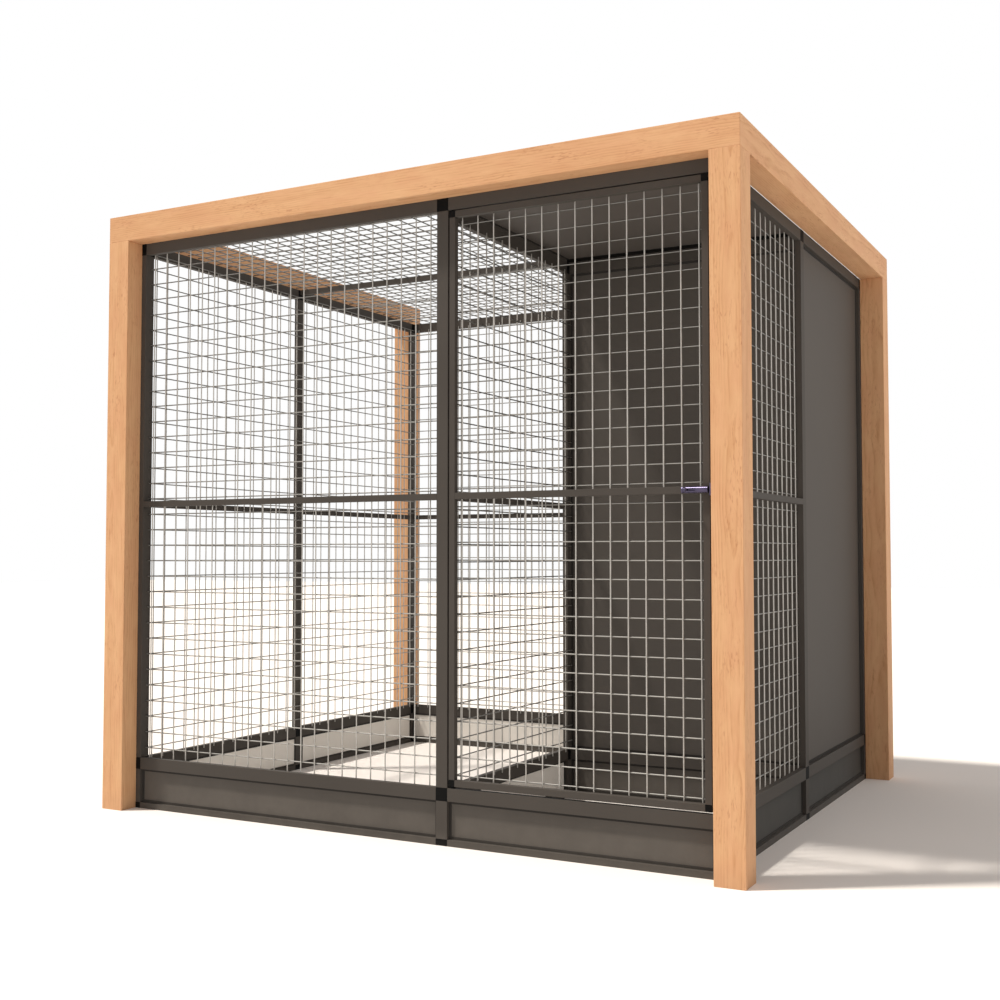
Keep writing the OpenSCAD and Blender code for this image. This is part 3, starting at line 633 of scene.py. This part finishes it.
def wirePaintedShadeMaterial(name, shadeTones):
    material = coatedMaterial(name, wireLook)
    tree = material.node_tree
    shader = tree.nodes["Principled BSDF"]
    normal = addNode(tree, "NewGeometry").outputs["Normal"]
    upwards = addNode(tree, "SeparateXYZ", {0: normal}).outputs["Z"]
    place = addNode(tree, "TexCoord").outputs["Object"]
    height = addNode(tree, "SeparateXYZ", {0: place}).outputs["Z"]
    rise = calculate(tree, "DIVIDE", height, wireShadeFade["height"], clamp=True)
    colour = shader.inputs["Base Color"].links[0].from_socket
    # Painted shade: tops and undersides are mixed towards a darker colour that deepens with height
    for side, way in (("top", 1), ("under", -1)):
        mask = calculate(tree, "MULTIPLY", upwards, way * wireShadeFade["sharpness"], clamp=True)
        tone = mixColour(tree, rise, shadeTones[side + "Low"], shadeTones[side + "High"])
        colour = mixColour(tree, mask, colour, tone)
    feed(tree, shader.inputs, {"Base Color": colour})
    return material


paint(tubePieces, frameCoat)
paintNodes(["right_panel", "rear_panel", "shelter_side_panel", "shelter_front_panel"], panelSheet)
paintNodes(["roof_panels"], roofSheet)
paintNodes(["frame_connectors", "door_connectors", "hatch_trim", "pivot_washers"], blackNylon)
paintNodes(["panel_seals"], edgeRubber)
paintNodes(["roof_strip"], stripRubberPaintedShade)
lobbyMeshes = ["right_mesh", "partition_mesh", "door_mesh"]
openMeshes = [name for names in meshNodes.values() for name in names if name not in lobbyMeshes]
openWirePaintedShade = wirePaintedShadeMaterial("openWirePaintedShade", openWireShade)
paintNodes(openMeshes, openWirePaintedShade)
paint(beadPieces, openWirePaintedShade)
paintNodes(lobbyMeshes, wirePaintedShadeMaterial("lobbyWirePaintedShade", lobbyWireShade))
paintNodes(["bolt_barrel", "bolt_rod", "bolt_keeper"], darkBolt)
paintNodes(["bolt_screws", "keeper_screws", "pivot_pins", "beam_dowels", "frame_pins"], zincSteel)


# Kick panels: dark on the outside, with a pale face towards the run. The face that looks at the middle of the
# run is the pale one, and on the inner walls the one that looks left or back. The outer right-hand face is
# darkened with painted shadow.

kickLook = dict(panelLook, dust=0.35, dustReach=0.16)
# Painted shadow: the tint that darkens the outer right-hand face of the kick panels
kickPaintedShadow = (0.62, 0.66, 0.68, 1)
paleFace = {"colour": (0.80, 0.735, 0.665, 1), "second": (0.84, 0.775, 0.705, 1), "patches": 5.0}
# A face counts as turned one way from this share of its normal, and as turned towards the run's
# middle where its normal times its place is below the other number
kickFacing = {"turned": 0.5, "inwards": -0.2}


def kickMaterial(name, inner):
    material = coatedMaterial(name, kickLook)
    tree = material.node_tree
    shader = tree.nodes["Principled BSDF"]
    place = addNode(tree, "TexCoord").outputs["Object"]
    normal = addNode(tree, "NewGeometry").outputs["Normal"]
    side = addNode(tree, "SeparateXYZ", {0: normal}).outputs
    dark = shader.inputs["Base Color"].links[0].from_socket
    if inner:
        width = calculate(tree, "ABSOLUTE", side["X"])
        sideways = calculate(tree, "GREATER_THAN", width, kickFacing["turned"])
        backwards = calculate(tree, "GREATER_THAN", side["Y"], kickFacing["turned"])
        pale = calculate(tree, "MAXIMUM", sideways, backwards)
    else:
        inputs = {0: normal, 1: stretch(tree, place, (1, 1, 0))}
        inwards = addNode(tree, "VectorMath", inputs, operation="DOT_PRODUCT").outputs["Value"]
        pale = calculate(tree, "LESS_THAN", inwards, kickFacing["inwards"])
        # Painted shadow: the right-hand face is darkened, as it lies deep in the run's own shadow
        paintedShadowMask = calculate(tree, "GREATER_THAN", side["X"], kickFacing["turned"])
        dark = mixColour(tree, paintedShadowMask, dark, kickPaintedShadow, "MULTIPLY")
    patch = noise(tree, place, paleFace["patches"], 3.0)
    paleColour = mixColour(tree, patch, paleFace["colour"], paleFace["second"])
    feed(tree, shader.inputs, {"Base Color": mixColour(tree, pale, dark, paleColour)})
    return material


paintNodes(["outer_kick_panels"], kickMaterial("outerKickSheetPaintedShadow", False))
paintNodes(["inner_kick_panels"], kickMaterial("innerKickSheet", True))
print("Materials done")


# Ground, light and camera

# The camera sees the floor in a warmer tone than the one that bounces light onto the run
groundSetup = {
    "size": 60.0,
    "bounce": (0.93, 0.92, 0.91, 1),
    "seen": (0.99, 0.92, 0.865, 1),
    "seenPatch": (0.98, 0.91, 0.855, 1),
    "patches": 0.8,
}


def makeGround():
    half = groundSetup["size"] / 2
    mesh = bpy.data.meshes.new("ground")
    corners = [(-half, -half, 0), (half, -half, 0), (half, half, 0), (-half, half, 0)]
    mesh.from_pydata(corners, [], [(0, 1, 2, 3)])
    ground = bpy.data.objects.new("ground", mesh)
    bpy.context.scene.collection.objects.link(ground)
    material, tree, shader, place = newMaterial("paleGround")
    patch = noise(tree, place, groundSetup["patches"], 3.0)
    seen = mixColour(tree, patch, groundSetup["seen"], groundSetup["seenPatch"])
    straight = addNode(tree, "LightPath").outputs["Is Camera Ray"]
    colour = mixColour(tree, straight, groundSetup["bounce"], seen)
    feed(tree, shader.inputs, {"Base Color": colour, "Roughness": 1.0, "Specular IOR Level": 0.0})
    mesh.materials.append(material)


# Each lamp: the way its light goes, its strength where 3.14 lights a facing surface as written,
# and how wide it looks from the ground, in degrees
lamps = {
    "sun": {"towards": (0.400, 0.260, -0.879), "strength": 3.3, "width": 4.5, "colour": (1.0, 0.965, 0.90)},
    "fill": {"towards": (-0.93, -0.05, -0.36), "strength": 0.30, "width": 70.0, "colour": (1.0, 0.98, 0.96)},
}
skySetup = {"colour": (1.0, 0.99, 0.98, 1), "strength": 0.48, "backgroundStrength": 1.0}


def makeLamps():
    for name, lamp in lamps.items():
        light = bpy.data.lights.new(name, "SUN")
        light.energy = lamp["strength"]
        light.angle = math.radians(lamp["width"])
        light.color = lamp["colour"]
        holder = bpy.data.objects.new(name, light)
        x, y, z = lamp["towards"]
        holder.rotation_euler = (math.acos(-z / math.hypot(x, y, z)), 0, math.atan2(x, -y) + math.pi)
        bpy.context.scene.collection.objects.link(holder)


# The sky lights surfaces softly. The camera, reflections and clear materials see it as plain white.
def makeSky():
    world = bpy.data.worlds.new("studio")
    bpy.context.scene.world = world
    world.use_nodes = True
    tree = world.node_tree
    tree.nodes.clear()
    path = addNode(tree, "LightPath").outputs
    seen = calculate(tree, "MAXIMUM", path["Is Camera Ray"], path["Is Glossy Ray"])
    seen = calculate(tree, "MAXIMUM", seen, path["Is Transmission Ray"])
    soft = addNode(tree, "Background", {"Color": skySetup["colour"], "Strength": skySetup["strength"]})
    white = addNode(tree, "Background", {"Color": (1, 1, 1, 1), "Strength": skySetup["backgroundStrength"]})
    mixed = addNode(tree, "MixShader", {0: seen, 1: soft.outputs[0], 2: white.outputs[0]})
    addNode(tree, "OutputWorld", {"Surface": mixed.outputs[0]})


cameraSetup = {
    "location": (2.1793, -4.2611, 0.8831),
    "tilt": 2.480,
    "turn": 28.165,
    "lens": 45.70,
    "sensor": 36.0,
    "farthest": 200,
}


def makeCamera():
    data = bpy.data.cameras.new("viewpoint")
    data.lens = cameraSetup["lens"]
    data.sensor_width = cameraSetup["sensor"]
    data.clip_end = cameraSetup["farthest"]
    camera = bpy.data.objects.new("viewpoint", data)
    camera.location = cameraSetup["location"]
    camera.rotation_euler = (math.radians(90 + cameraSetup["tilt"]), 0, math.radians(cameraSetup["turn"]))
    bpy.context.scene.collection.objects.link(camera)
    bpy.context.scene.camera = camera


makeGround()
makeLamps()
makeSky()
makeCamera()
bpy.context.scene.view_settings.view_transform = "Standard"
print("Ground, light and camera done")
